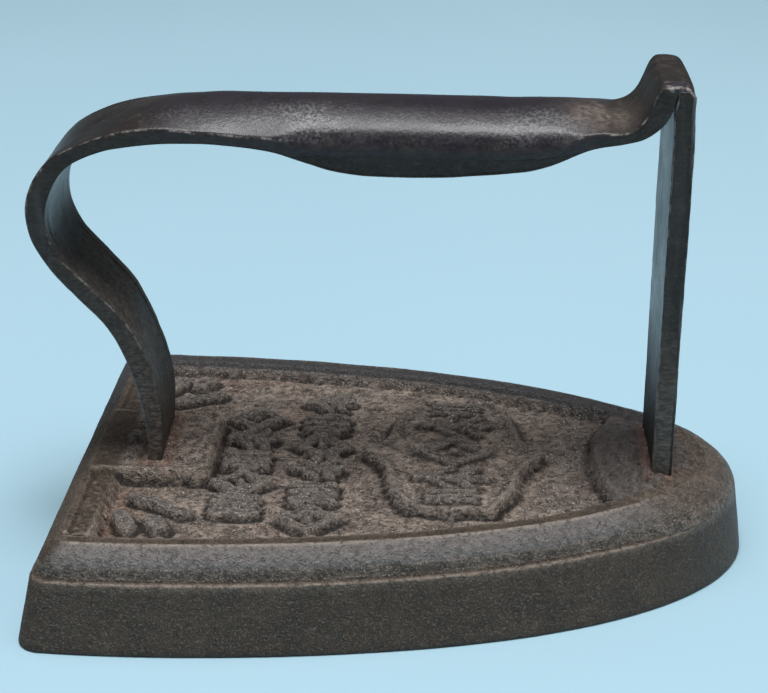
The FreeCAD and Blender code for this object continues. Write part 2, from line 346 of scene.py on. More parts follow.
# A quarter of the plaque's outline: distance across the iron, then reach along it.
PLAQUE_QUARTER = [(0.0, 21.0), (3.6, 17.6), (8.0, 15.4), (12.5, 14.6), (18.5, 13.6), (26.5, 9.4),
                  (27.2, 0.0)]
PLAQUE_SIDE_SLOPE = 0.85
PLAQUE_LOZENGE = (7.5, 5.6, 1.0)
PLAQUE_LEAF = (8.0, 4.6, 0.85)
PLAQUE_LEAF_Y = 13.0
PLAQUE_BARS = (5.0, 2.8, 0.75)
PLAQUE_BARS_Y = 21.5
PLAQUE_BARS_SQUEEZE = 1.4


def stroke(x, y, first, last, half_width):
    """Straight raised stroke with round ends."""
    ax, ay = first
    bx, by = last
    length2 = max((bx - ax) ** 2 + (by - ay) ** 2, 1e-9)
    t = np.clip(((x - ax) * (bx - ax) + (y - ay) * (by - ay)) / length2, 0.0, 1.0)
    return half_width - np.hypot(x - ax - t * (bx - ax), y - ay - t * (by - ay))


def lozenge(x, y, half_x, half_y, half_width):
    """Raised diamond outline with a stud in its middle."""
    edge = (np.abs(x) / half_x + np.abs(y) / half_y - 1.0) * min(half_x, half_y) * LOZENGE_EDGE_SLOPE
    return np.maximum(half_width - np.abs(edge), LOZENGE_STUD - np.hypot(x, y))


def bars(x, y, half_length, pitch, half_width):
    """Three parallel strokes across the iron."""
    rows = [stroke(x, y, (-half_length, k * pitch), (half_length, k * pitch), half_width)
            for k in (-1, 0, 1)]
    return np.max(rows, axis=0)


def leaf(x, y, half_x, half_y, half_width):
    """Stem with two pairs of leaflets."""
    parts = [stroke(x, y, (-half_x, 0.0), (half_x, 0.0), half_width)]
    for side in (-1.0, 1.0):
        for foot in LEAFLET_FEET:
            tip = ((foot + LEAFLET_REACH) * half_x, side * half_y)
            parts.append(stroke(x, y, (foot * half_x, 0.0), tip, half_width))
    return np.max(parts, axis=0)


MOTIFS = {"lozenge": (lozenge, (5.6, 4.7, 1.15)),
          "bars": (bars, (4.4, 3.4, 1.2)),
          "leaf": (leaf, (5.0, 4.0, 1.15))}


def ornament(x, y):
    """All the raised ornament on the panel floor."""
    best = np.full(len(x), FAR_OUTSIDE)
    for station, cells in (REAR_COLUMN, FRONT_COLUMN):
        for row, kind in cells:
            shape, sizes = MOTIFS[kind]
            best = np.maximum(best, shape(x - station, y - row, *sizes))
    for side in (-1.0, 1.0):
        for first, last, half_width in CORNER_STROKES:
            best = np.maximum(best, stroke(x, side * y, first, last, half_width))
    return best


def plaque(x, y):
    """The bracket-shaped plaque."""
    along = np.abs(x - PLAQUE_STATION)
    across = np.abs(y)
    reach = table_at(PLAQUE_QUARTER, across)
    return np.minimum((reach - along) * PLAQUE_SIDE_SLOPE, PLAQUE_QUARTER[-1][0] - across)


def plaque_ornament(x, y):
    """The ornament on the plaque: a lozenge between two leaf sprays and two sets of bars."""
    along = x - PLAQUE_STATION
    best = lozenge(along, y, *PLAQUE_LOZENGE)
    for side in (-1.0, 1.0):
        best = np.maximum(best, leaf(along, y - side * PLAQUE_LEAF_Y, *PLAQUE_LEAF))
        squeezed = (y - side * PLAQUE_BARS_Y) * PLAQUE_BARS_SQUEEZE
        best = np.maximum(best, bars(along, squeezed, *PLAQUE_BARS))
    return best


# ---- upper side of the casting

FLOOR_HEIGHT = 18.8
FAR_SIDE = (20.0, 32.0)
NEAR_NOSE = (124.0, 108.0)
WARP = ((3.0, 0.3), (1.3, 0.12))
WARP_X_SEEDS = (1, 2)
WARP_Y_SEEDS = (3, 4)
CORROSION = (2.4, 3)

RIM_TOP = 22.1
RIM_LEDGE = 0.32
RIM_LEDGE_RANGE = (5.9, 6.5)
RIM_SWELL = 0.10
RIM_SWELL_INSET = 8.3
RIM_GROOVE = 0.55
RIM_GROOVE_INSET = 9.7
HEEL_GROOVE = 0.45
HEEL_GROOVE_STATION = 7.4
SHELF_START = (6.8, 8.2)
SHELF_INSET = (8.6, 10.0)
SHELF_DROP = 0.3

PANEL_INSET = 10.9
PANEL_HEEL = 12.6
# The front pad is a round end whose centre lies beyond the nose.
PAD_CENTRE = 166.0
PAD_RADIUS = 48.0
INSIDE_CORNER_TIGHTNESS = 1.4
RAGGED_EDGE = 0.5
FAR_RAGGED_LOSS = 0.30
PANEL_WALL = (-1.3, 1.0)

FLOOR_SWELL = 0.35
STREAK_HEIGHT = 0.12
STREAKS = [(1.0, (5.0, 0.8, 1.0), 21), (0.6, (2.2, 0.45, 1.0), 22)]
GRIT_SCALE = 1.25
GRIT_SIZE = (2.6, 1.8, 1.0)
FLOOR_GRIT = 0.22
STROKE_WALL = (-0.3, 0.2)
STROKE_RISE = 1.75
STROKE_UNEVEN = 0.3
CREASE_DEPTH = 0.3
WORN_STROKE = 0.7
WORN_SPREAD = 0.3
WORN_PATCHES = (-0.8, -0.2)

PLAQUE_HEIGHT = 20.7
PLAQUE_WALL = (-1.2, 0.8)
PLAQUE_CREST = 0.65
PLAQUE_GRIT = 0.2
PLAQUE_RISE = 1.15
CREST_SHADE = 0.6

# Pad under the rear leg: its front edge, its half width, the cut at its corners and its top.
REAR_PAD_FRONT = 32.2
REAR_PAD_HALF_WIDTH = 15.2
REAR_PAD_CHAMFER = 2.5
CHAMFER_SLOPE = 0.7
REAR_PAD_TOP = 22.3
REAR_PAD_LIP = 0.3
REAR_PAD_WALL = (-1.7, 0.5)

# Low dome under the front leg: its middle, its half axes and its rise.
DOME_STATION = 131.5
DOME_ALONG = 14.0
DOME_ACROSS = 21.0
DOME_RISE = 1.75
DOME_UNEVEN = 0.4
DOME_RANGE = (1.0, 0.2)
DOME_EDGE = (1.2, -2.4)
PAD_LIP = 0.12

# Feet of the two legs in the casting: station, half length and half width.
REAR_FOOT = (20.1, 1.6, 11.8)
FRONT_FOOT = (132.5, 2.1, 12.0)
FOOT_RISE = 0.45
FOOT_FILLET = (1.9, 0.5)
FOOT_LUMPS = 0.2
FOOT_LUMPS_RANGE = (2.4, 0.8)


def soft_least(*values):
    """Least of several values, with the inside corners rounded."""
    stack = np.stack(values)
    summed = np.exp(-INSIDE_CORNER_TIGHTNESS * stack).sum(axis=0)
    return -np.log(summed) / INSIDE_CORNER_TIGHTNESS


def foot_gap(x, y, foot):
    """Distance outside the foot of a handle leg."""
    station, half_length, half_width = foot
    return np.hypot(np.maximum(np.abs(x - station) - half_length, 0.0),
                    np.maximum(np.abs(y) - half_width, 0.0))


def warped(flat, values, seeds):
    """Values pushed about by noise, as the edges of a hand-cut mould are."""
    for (size, height), seed in zip(WARP, seeds):
        values = values + height * noise(flat, size, seed)
    return values


def rim_surface(x, y, inset, coarse):
    """Height of the flat border between the bead and the panel."""
    plain_rim = smooth(x, *NEAR_NOSE)
    rim = RIM_TOP - RIM_LEDGE * smooth(inset, *RIM_LEDGE_RANGE)
    rim = rim + RIM_SWELL * ridge(inset, RIM_SWELL_INSET, 0.8)
    rim -= RIM_GROOVE * plain_rim * ridge(inset, RIM_GROOVE_INSET, 0.4)
    rim -= HEEL_GROOVE * ridge(x, HEEL_GROOVE_STATION, 0.5) * smooth(inset, 9.0, 10.0)
    shelf = smooth(x, *SHELF_START) * smooth(inset, *SHELF_INSET)
    unevenness = 0.06 + 0.2 * shelf + 0.12 * (1.0 - plain_rim)
    rim += unevenness * (1.0 - 0.6 * smooth(y, *FAR_SIDE)) * coarse
    return rim - SHELF_DROP * shelf * plain_rim


def panel_surface(flat, warp_x, warp_y):
    """Height of the panel floor with its ornament and plaque, and how raised and creased it is."""
    y = flat[:, 1]
    streaks = layers(flat, STREAKS)
    grit = GRIT_SCALE * fractal(flat, GRIT_SIZE, 3, 7)
    floor = FLOOR_HEIGHT + FLOOR_SWELL * noise(flat, 13.0, 6)
    floor = floor + STREAK_HEIGHT * streaks + FLOOR_GRIT * grit
    worn_away = WORN_STROKE + WORN_SPREAD * smooth(noise(flat, 4.5, 15), *WORN_PATCHES)
    strokes = ornament(warp_x, warp_y)
    raised_and_shaded = smooth(strokes, *STROKE_WALL) * worn_away
    # The foot of each stroke is a crease, later darkened as dirt and painted shade.
    crease = ridge(strokes, -0.75, 0.5)
    floor = floor + raised_and_shaded * (STROKE_RISE + STROKE_UNEVEN * noise(flat, 3.0, 14))
    floor = floor - CREASE_DEPTH * crease

    inside_plaque = plaque(warp_x, warp_y)
    on_plaque = smooth(inside_plaque, *PLAQUE_WALL)
    crest = ridge(inside_plaque, 0.9, 1.0)
    # A thin line just beyond the plaque's edge on its far side, later darkened as painted shade.
    far_edge = ridge(inside_plaque, -0.1, 0.55) * smooth(y, -3.0, 3.0)
    strokes = plaque_ornament(warp_x, warp_y)
    device = smooth(strokes, *STROKE_WALL) * worn_away
    plaque_top = PLAQUE_HEIGHT + PLAQUE_CREST * crest + STREAK_HEIGHT * streaks + PLAQUE_GRIT * grit
    plaque_top += PLAQUE_RISE * device
    floor = floor + on_plaque * (plaque_top - floor)

    crease = np.maximum(crease * (1.0 - on_plaque), ridge(strokes, -0.8, 0.5) * on_plaque)
    crease = np.maximum(crease, np.maximum(ridge(inside_plaque, -1.1, 0.7), far_edge))
    raised_and_shaded = np.maximum(raised_and_shaded, np.maximum(device, CREST_SHADE * crest) * on_plaque)
    return floor, raised_and_shaded, crease


def rear_pad(flat, warp_x, warp_y):
    """Inside distance of the pad under the rear leg, and the height of its top."""
    spread = np.abs(warp_y)
    pad = np.minimum(REAR_PAD_FRONT - warp_x, REAR_PAD_HALF_WIDTH - spread)
    corner = REAR_PAD_FRONT + REAR_PAD_HALF_WIDTH - REAR_PAD_CHAMFER - warp_x - spread
    pad = np.minimum(pad, corner * CHAMFER_SLOPE)
    top = REAR_PAD_TOP + 0.2 * fractal(flat, 2.4, 3, 12) + REAR_PAD_LIP * ridge(pad, 0.8, 0.7)
    return pad, top


def top_surface(x, y, inset):
    """Height of the casting's upper side, and its rust, panel, raised parts (with painted shade over
    the front pad) and creases.
    """
    flat = np.stack([x, y, np.zeros(len(x))], axis=1)
    warp_x = warped(flat, x, WARP_X_SEEDS)
    warp_y = warped(flat, y, WARP_Y_SEEDS)
    coarse = fractal(flat, *CORROSION, 9)
    front = np.hypot(x - PAD_CENTRE, y) - PAD_RADIUS

    rim = rim_surface(x, y, inset, coarse)
    ragged = (RAGGED_EDGE - FAR_RAGGED_LOSS * smooth(y, *FAR_SIDE)) * fractal(flat, 4.0, 3, 5)
    inside = soft_least(inset - PANEL_INSET, x - PANEL_HEEL, front) + ragged
    sunk = smooth(inside, *PANEL_WALL)
    floor, raised_and_shaded, crease = panel_surface(flat, warp_x, warp_y)
    height = rim + sunk * (floor - rim)

    pad, pad_top = rear_pad(flat, warp_x, warp_y)
    height = height + smooth(pad, *REAR_PAD_WALL) * np.maximum(pad_top - height, 0.0)

    dome = np.hypot((x - DOME_STATION) / DOME_ALONG, y / DOME_ACROSS)
    dome_rise = (DOME_RISE + DOME_UNEVEN * coarse) * smooth(dome, *DOME_RANGE)
    height = height + dome_rise * smooth(front, *DOME_EDGE)
    height += PAD_LIP * ridge(front, -1.6, 1.2) * smooth(inset, 9.5, 12.5)
    # Lines at the foot of the front dome and of the rear pad, later darkened as dirt and painted
    # shade.
    crease = np.maximum(crease, ridge(front, 0.9, 0.9) * smooth(inset, 9.5, 11.5))
    crease = np.maximum(crease, ridge(pad, -1.3, 0.7) * smooth(x, 12.0, 14.0))
    for foot in (REAR_FOOT, FRONT_FOOT):
        gap = foot_gap(x, y, foot)
        lumps = FOOT_LUMPS * smooth(gap, *FOOT_LUMPS_RANGE) * noise(flat, 1.3, 31)
        height += FOOT_RISE * smooth(gap, *FOOT_FILLET) + lumps

    corner_rust = smooth(x, 26.0, 14.0) * smooth(y, -14.0, -24.0)
    foot_rust = smooth(foot_gap(x, y, REAR_FOOT), 3.4, 1.0)
    foot_rust += smooth(foot_gap(x, y, FRONT_FOOT), 2.6, 0.8)
    low = smooth(height, 20.6, 18.9) * sunk
    patches = smooth(noise(flat, 9.0, 41), 0.05, 0.6)
    rust = low * (0.7 * corner_rust + 0.28 * patches) + 0.7 * foot_rust
    # Painted shade over the front of the panel and the dome, under the grip and beside the front
    # leg; it shares the raised ornament's grey.
    painted_pad_shade = 0.9 * smooth(x, 102.0, 122.0) * smooth(inset, 8.5, 10.5)
    raised_and_pad_shade = np.maximum(raised_and_shaded * sunk, painted_pad_shade)
    return height, np.clip(rust, 0.0, 1.0), sunk, raised_and_pad_shade, crease * sunk


# ---- the casting

SAND_SWELL = 0.10
SAND_FINE = 0.05
SAND_RANGE = (0.1, 1.2)
SKIN_ALLOWANCE = 0.06
ABOVE_SOLE = 0.5
BAND_TOP = 14.0
NOSE_OVERHANG = 1.1
FULL_BAND = 15.0
NEIGHBOURS = (-2, -1, 1, 2)
WEAR_PER_MM = 4.0
# Darkening in hollows and along creases, as dirt and painted shade.
HOLLOW_DIRT_AND_SHADE_PER_MM = 4.5
CREASE_DIRT_AND_SHADE = 0.6
STEP_WEAR = 0.75
BEAD_WEAR = 0.8
ARRIS_WEAR = 0.75
# Painted shade over the far side of the casting: where it starts and is full across the iron, the
# insets over which it fades out towards the panel, and how much of the worn colour it hides.
FAR_SHADE_Y = (8.0, 22.0)
FAR_SHADE_INSET = (11.8, 9.6)
FAR_SHADE_OVER_WEAR = 0.85


def relief(height_grid):
    """How much each point stands above (+) or below (-) its neighbours, in millimetres."""
    around = np.zeros_like(height_grid)
    for shift in NEIGHBOURS:
        around += np.roll(height_grid, shift, axis=0)
        around += np.roll(height_grid, shift, axis=1)
    return height_grid - around / (2.0 * len(NEIGHBOURS))


def border_grid(section, nose):
    """Rows of the casting from the middle of the sole up to the bead."""
    rings = []
    sole_ring = ring(section[0][0])
    middle = spine_points(sole_ring)
    for share in SOLE_SHARES:
        flat = middle + (sole_ring - middle) * share
        rings.append(np.column_stack([flat, np.zeros(len(flat))]))
    nose = nose[:, None]
    for inset, height in section:
        worn_inset = inset - NOSE_OVERHANG * height / FULL_BAND
        if height > FULL_BAND:
            worn_inset = table_at(NOSE_MOULDING, height)
        flat = ring(inset) * (1.0 - nose) + ring(worn_inset) * nose
        rings.append(np.column_stack([flat, np.full(len(flat), height)]))
    return np.array(rings)


def roughened(grid, outer_rows):
    """The casting with its sandy lumps, drawn in a little so that it stays inside the CAD box."""
    points = grid.reshape(-1, 3)
    rough = SAND_FINE * fractal(points, 1.5, 2, 51) + SAND_SWELL * noise(points, 9.0, 53)
    rough = rough.reshape(grid.shape[:2])
    row_height = grid[:, :, 2]
    rough *= smooth(row_height, *SAND_RANGE)
    rough[outer_rows:] = 0.0
    shift = (rough + SKIN_ALLOWANCE) * (row_height > ABOVE_SOLE)
    return grid - grid_normals(grid) * shift[:, :, None]


def border_looks(section, boundary, nose, on_heel):
    """Wear, hollow, painted sheen, matt and painted far-side shade of the outer face of the border,
    row by row.
    """
    insets = np.array([s[0] for s in section])[:, None]
    heights = np.array([s[1] for s in section])[:, None]
    above = (heights > BAND_TOP).astype(float)
    cove = ((heights > 15.6) & (heights < 18.2)).astype(float)
    step_wear = STEP_WEAR * ridge(insets, 0.45, 0.42) * above * (1.0 - 0.65 * nose)
    bead_wear = BEAD_WEAR * ridge(insets, BEAD_INSET, 0.45) * (1.0 - 0.9 * nose)
    return {"wear": (step_wear + bead_wear) * (1.0 - 0.8 * on_heel),
            # The cove takes half of the panel's paler brown, painted light that lifts it out of its
            # shade; round the nose the moulding takes some of the panel's speckled colour.
            "sunk": np.maximum(0.5 * cove, 0.25 * nose * above),
            # The bead's upper face gets a painted sheen: a paler colour that stands for its
            # reflection of the light, with less roughness.
            "sheen": smooth(heights, 17.6, 19.0) * (1.0 - on_heel) * (1.0 - 0.9 * nose),
            "matt": on_heel,
            # Painted shade on the far side of the moulding.
            "far_shade": above * smooth(boundary[:, 1], *FAR_SHADE_Y)}


def cast_body(material):
    """The casting: sole, drafted band, step, bead and the sunken, ornamented panel."""
    section = border_section()
    boundary = ring(BEAD_INSET)
    nose = smooth(boundary[:, 0], *NOSE_RANGE)
    on_heel = smooth(boundary[:, 0], 9.0, 6.0)
    border = border_grid(section, nose)
    outer_rows = len(border)
    first = outer_rows - len(section)
    middle = spine_points(boundary)
    shares = np.linspace(0.0, 1.0, INNER_ROWS + 1)[1:]
    flat = np.concatenate([boundary + (middle - boundary) * share for share in shares])
    inset = side_inset(flat[:, 0], flat[:, 1])
    height, *painted = top_surface(flat[:, 0], flat[:, 1], inset)
    rust, sunk, raised_and_shaded, crease = (values.reshape(INNER_ROWS, -1) for values in painted)
    inner = np.column_stack([flat, height]).reshape(INNER_ROWS, -1, 3)
    inner_x = inner[:, :, 0]
    grid = roughened(np.concatenate([border, inner]), outer_rows)

    stand = relief(grid[:, :, 2])[outer_rows:]
    on_pad = smooth(inner_x, 112.0, 118.0)
    arris = ridge(shares * (boundary[0, 0] - middle[0, 0]), 0.2, 0.45)[:, None]
    wear = np.clip(stand * WEAR_PER_MM, 0.0, 1.0) * (1.0 - 0.6 * sunk)
    wear *= 1.0 - 0.8 * on_pad * (shares > 0.12)[:, None]
    wear = np.maximum(wear, ARRIS_WEAR * arris)
    wear *= np.where(arris > 0.3, (1.0 - 0.8 * on_heel) * (1.0 - 0.9 * nose), 1.0)
    # Painted shade over the far side of the rim and the panel's far wall.
    far_shade = smooth(inset, *FAR_SHADE_INSET).reshape(INNER_ROWS, -1) * smooth(inner[:, :, 1], *FAR_SHADE_Y)
    # Darker in hollows and along creases: dirt with painted shade.
    dirt_and_shade = np.maximum(np.clip(-stand * HOLLOW_DIRT_AND_SHADE_PER_MM, 0.0, 1.0), CREASE_DIRT_AND_SHADE * crease)
    panel_looks = {"wear": wear, "dirt_and_shade": dirt_and_shade, "rust": rust,
                   "sunk": np.maximum(sunk, 0.25 * smooth(inner_x, 120.0, 134.0)),
                   "raised_and_shaded": raised_and_shaded, "far_shade": far_shade}

    looks = {name: np.zeros(grid.shape[:2])
             for name in ("wear", "dirt_and_shade", "rust", "sunk", "raised_and_shaded", "sheen", "matt", "far_shade")}
    for name, values in border_looks(section, boundary, nose, on_heel).items():
        looks[name][first:outer_rows] = values
    for name, values in panel_looks.items():
        looks[name][outer_rows:] = values
    # Worn colour is mostly hidden under the painted far-side shade.
    looks["wear"] *= 1.0 - FAR_SHADE_OVER_WEAR * looks["far_shade"]

    piece = skin("cast_body", grid, False, material, looks, CASTING_WELD)
    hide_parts("iron_body")
    return piece


# ---- the handle bar

# Outer (upper) and inner (lower) edge of the bar in side view, foot to fold.
BAR_OUTER = [(18.6, 19.0), (18.5, 27.0), (17.9, 35.0), (15.6, 45.2), (11.2, 54.8), (5.0, 62.0),
             (-0.8, 69.0), (-4.1, 75.6), (-4.6, 81.5), (-2.9, 87.6), (1.5, 93.3), (9.9, 97.8),
             (21.7, 100.5), (33.0, 100.0), (46.0, 99.1), (60.0, 98.9), (75.0, 98.9), (90.0, 98.9),
             (104.0, 99.3), (112.0, 100.5), (117.0, 101.3), (120.4, 101.3), (122.9, 102.3),
             (124.7, 104.2), (125.8, 106.6), (126.6, 108.6), (127.4, 110.3), (128.4, 111.25),
             (129.8, 111.39), (132.4, 111.38), (133.9, 111.05), (134.75, 110.2), (134.9, 108.6),
             (134.6, 106.5)]
BAR_INNER = [(21.6, 19.0), (22.1, 27.0), (22.2, 35.4), (20.2, 46.2), (15.2, 56.6), (8.4, 64.2),
             (2.4, 70.9), (-0.1, 76.6), (-0.3, 81.5), (1.2, 86.3), (4.4, 90.9), (11.2, 94.6),
             (21.7, 96.8), (33.0, 97.3), (46.0, 96.4), (60.0, 96.1), (75.0, 96.1), (90.0, 96.1),
             (104.0, 96.4), (112.0, 97.3), (117.5, 98.2), (121.6, 98.9), (124.9, 99.9),
             (127.7, 101.8), (129.5, 103.9), (130.35, 105.7), (130.8, 107.3), (131.15, 108.6),
             (131.45, 109.3), (131.8, 109.5), (132.15, 109.3), (132.3, 108.9), (132.4, 108.0),
             (132.4, 106.5)]
BAR_ROWS = 430
# Along the grip: station, then crown above the edges and drop of the turned-down flange.
GRIP_CROWN = [(12.0, 0.0), (20.0, 1.3), (28.0, 3.3), (36.0, 4.7), (45.0, 5.4), (56.0, 5.7),
              (75.0, 5.7), (92.0, 5.6), (104.0, 5.2), (111.0, 3.9), (117.0, 2.0), (122.0, 0.2)]
GRIP_FLANGE = [(44.0, 0.0), (49.0, 0.6), (54.0, 2.6), (60.0, 4.9), (67.0, 6.1), (75.0, 6.3),
               (85.0, 6.0), (95.0, 5.1), (103.0, 4.2), (108.0, 2.8), (112.0, 0.9), (114.5, 0.0)]
CROWN_BLUR = 5
FLANGE_BLUR = 4
PAST_BEND = 90.0
FOOT_HALF_WIDTH = 11.8
FOOT_WIDTH = 2.0 * FOOT_HALF_WIDTH
GRIP_WIDENING = 1.1
WIDTH_UNEVEN = 0.16
WIDTH_ALLOWANCE = 0.1
END_NARROWING = 0.25
EDGE_ROUND = 0.55
FLANGE_ROUND = 2.6
# The first half of the bar, foot first, as a share of its rows.
REAR_HALF = (0.5, 0.4)
FORGED = [(0.16, 11.0, 62), (0.07, 4.0, 63), (0.03, 1.6, 64)]
FORGED_ALLOWANCE = 0.05
GRIP_SMOOTHNESS = 0.65

# The section, from the middle of the top round to the middle of the underside.
TOP_POINTS = 22
TOP_POWER = 2.2
SHOULDER_POINTS = 7
SHOULDER_SWELL = 0.26
MOST_ROUND = 0.4
FLANK_POINTS = 7
LIP_POINTS = 5
LIP_FLAT_POINTS = 2
LIP_ROUND = 0.5
LIP_ROUND_PER_DROP = 0.22
MOST_LIP_ROUND = 1.3
INNER_LIP_ROUND = 0.45
INNER_WALL_POINTS = 4
ROOF_POINTS = 4
ROOF_ROUND = 0.6
UNDER_POINTS = 16
UNDER_CROWN = 0.9
UNDER_SINK = 0.96
WALL = 3.0
LEAN_PER_DROP = 0.36
ROOF_LEAN = 0.35
MOST_SETBACK = 0.48
# Columns of the section, counted from the middle of the top, at its upper edge and its lip.
EDGE_COLUMN = 25
LIP_COLUMN = 37

# Twist of the rear leg: height, then how far its far edge lies behind its near edge.
REAR_TWIST = [(20.0, 0.9), (30.0, 0.8), (38.0, 1.2), (45.0, 1.65), (52.0, 1.3), (58.0, 0.5),
              (66.0, 0.0)]
# Battered flat on the near end of the fold: where it starts across the bar, and its slope.
FACET_START = 8.8
FACET_DEPTH = -1.6
FACET_SLOPE = 0.08
# The head narrows towards its far end by twice this much, all of it off the front.
HEAD_SKEW = 0.45
HEAD_HALF_WIDTH = 13.0
# Painted glints on the grip's near shoulder, and a brown painted reflection at the grip's end next
# to the neck.
GRIP_GLINT_STATIONS = (54.0, 103.0)
GRIP_GLINT_LENGTH = 9.0
GRIP_GLINT_Y = -8.5
GRIP_GLINT_WIDTH = 3.5
NECK_REFLECTION_STATION = 116.0
NECK_REFLECTION_LENGTH = 6.0
NECK_REFLECTION_Y = -4.0
NECK_REFLECTION_WIDTH = 7.0
# Heights on the section, below the edges, that bound the polished top and the flanks.
TOP_FACE = -1.0
POLISHED_FACE = -4.0


def bend_corner(before, corner, after, setback, count):
    """Rounds one corner of a section, as a short curve from one side to the other."""
    back = before - corner
    ahead = after - corner
    back_length = np.maximum(np.linalg.norm(back, axis=-1, keepdims=True), 1e-6)
    ahead_length = np.maximum(np.linalg.norm(ahead, axis=-1, keepdims=True), 1e-6)
    start = corner + back * np.minimum(setback / back_length, MOST_SETBACK)
    end = corner + ahead * np.minimum(setback / ahead_length, MOST_SETBACK)
    t = np.linspace(0.0, 1.0, count)[:, None, None]
    return start * (1 - t) ** 2 + corner * 2 * t * (1 - t) + end * t ** 2


def straight(first, last, count):
    """Points strictly between two places."""
    t = np.linspace(0.0, 1.0, count + 2)[1:-1, None, None]
    return first + (last - first) * t


def bar_half_section(width, crown, flange, thickness, round_over):
    """Half of the bar's section for every row, top to underside, as (across, height)."""
    rows = len(width)

    def place(across, height):
        return np.stack([across + np.zeros(rows), height + np.zeros(rows)], axis=-1)

    lean = LEAN_PER_DROP * flange
    wall = np.minimum(thickness, WALL)
    shoulder = place(width + SHOULDER_SWELL * round_over, 0.0)
    lip_out = place(width - lean, -thickness - flange)
    lip_in = place(width - lean - wall, -thickness - flange)
    roof = place(width - wall - ROOF_LEAN * lean, -thickness)
    under_middle = place(0.0, -thickness + UNDER_CROWN * crown)

    reach = 1.0 - np.minimum(round_over / width, MOST_ROUND)
    across = width * reach * np.linspace(0.0, 1.0, TOP_POINTS)[:, None]
    top = np.stack([across, crown * (1.0 - (across / width) ** TOP_POWER)], axis=-1)
    corner = bend_corner(top[-1], shoulder, lip_out, round_over[:, None], SHOULDER_POINTS)
    blend = (1.0 - np.linspace(0.0, 1.0, SHOULDER_POINTS))[:, None, None]
    corner = corner + (top[-1] - corner[0]) * blend
    lip_round = np.minimum(LIP_ROUND + LIP_ROUND_PER_DROP * flange, MOST_LIP_ROUND)[:, None]
    inner_round = np.minimum(lip_round, INNER_LIP_ROUND * wall[:, None])
    outer_lip = bend_corner(shoulder, lip_out, lip_in, lip_round, LIP_POINTS)
    inner_lip = bend_corner(lip_out, lip_in, roof, inner_round, LIP_POINTS)
    roof_turn = bend_corner(lip_in, roof, under_middle, ROOF_ROUND, ROOF_POINTS)
    under_share = np.linspace(1.0, 0.0, UNDER_POINTS)[1:, None]
    under_y = roof_turn[-1][:, 0] * under_share
    under_rise = (UNDER_CROWN * crown * UNDER_SINK) * (1.0 - under_share ** 2)
    under = np.stack([under_y, roof_turn[-1][:, 1] + under_rise], axis=-1)
    return np.concatenate([top, corner[1:], straight(corner[-1], outer_lip[0], FLANK_POINTS),
                           outer_lip, straight(outer_lip[-1], inner_lip[0], LIP_FLAT_POINTS),
                           inner_lip, straight(inner_lip[-1], roof_turn[0], INNER_WALL_POINTS),
                           roof_turn, under])


def along_bar(count):
    """Outer and inner edges of the bar in side view at evenly spaced rows."""
    outer = np.array(BAR_OUTER)
    inner = np.array(BAR_INNER)
    steps = np.diff((outer + inner) / 2.0, axis=0)
    chord = np.concatenate([[0.0], np.cumsum(np.hypot(*steps.T))])
    at = np.linspace(0.0, chord[-1], count)
    return spline(chord, outer, at), spline(chord, inner, at)


def blurred(values, reach):
    """Running mean over the rows up to reach away on each side."""
    count = 2 * reach + 1
    return np.convolve(np.pad(values, reach, mode="edge"), np.ones(count) / count, mode="valid")


def bar_looks(outer, grid, height, crown, flange, facet, climb):
    """Wear, polish, brown crust, streaks partly brightened as painted reflection, dullness, painted
    glints and a painted reflection at the neck of the handle bar.
    """
    station = outer[:, 0]
    level = outer[:, 1]
    x = grid[:, :, 0]
    y = grid[:, :, 1]
    columns = np.arange(grid.shape[1])
    folded = np.minimum(columns, len(columns) - columns)
    on_side = (folded > EDGE_COLUMN) & (folded <= LIP_COLUMN)
    underneath = folded > LIP_COLUMN
    on_top = height > TOP_FACE

    head = smooth(station, 128.2, 129.6) * smooth(station, 134.6, 133.6)
    battered = head[:, None] * smooth(facet, 0.0, 1.2)
    edge_wear = (0.9 - 0.8 * smooth(flange, 0.5, 3.0))[:, None] * ridge(folded, EDGE_COLUMN, 1.1)
    lip_range = smooth(level, 82.0, 72.0) * smooth(level, 34.0, 60.0)
    lip_wear = lip_range[:, None] * ridge(folded, LIP_COLUMN, 1.2)
    wear = np.maximum(np.maximum(edge_wear, lip_wear), battered)

    polish = smooth(crown, 0.8, 3.5)[:, None] * (height > POLISHED_FACE)
    polish = np.maximum(polish, battered)
    # Painted glints in clusters on the near shoulder of the grip.
    grip_glints = sum(ridge(x, middle, GRIP_GLINT_LENGTH) for middle in GRIP_GLINT_STATIONS)
    grip_glints = (0.25 + 0.75 * grip_glints) * ridge(y, GRIP_GLINT_Y, GRIP_GLINT_WIDTH) * on_top * polish

    low = smooth(level, 85.0, 50.0)[:, None] * (0.2 * on_side + 0.5 * underneath)
    foot = smooth(level, 56.0, 32.0)[:, None]
    low = low + (0.15 + 0.65 * foot) * on_side
    # Painted brown reflection on the top of the grip's end next to the neck.
    neck_reflection = ridge(x, NECK_REFLECTION_STATION, NECK_REFLECTION_LENGTH) * ridge(y, NECK_REFLECTION_Y, NECK_REFLECTION_WIDTH)
    in_bend = smooth(level, 70.0, 80.0) * smooth(climb, *REAR_HALF)
    # Pale streaks, partly real and partly painted reflection, brightest in the inner bend of the
    # rear leg.
    streak_and_reflection = 0.15 * smooth(level, 94.0, 84.0)[:, None] * on_side
    streak_and_reflection = streak_and_reflection + 0.8 * in_bend[:, None] * underneath
    dull = smooth(station, 119.0, 122.0)[:, None] * on_top * (1.0 - battered)
    dull = np.maximum(dull, smooth(level, 84.0, 66.0)[:, None] * underneath)
    return {"wear": wear, "polish": polish, "brown": np.maximum(low, neck_reflection * on_top),
            "streak_and_reflection": streak_and_reflection, "dull": dull, "grip_glints": grip_glints}


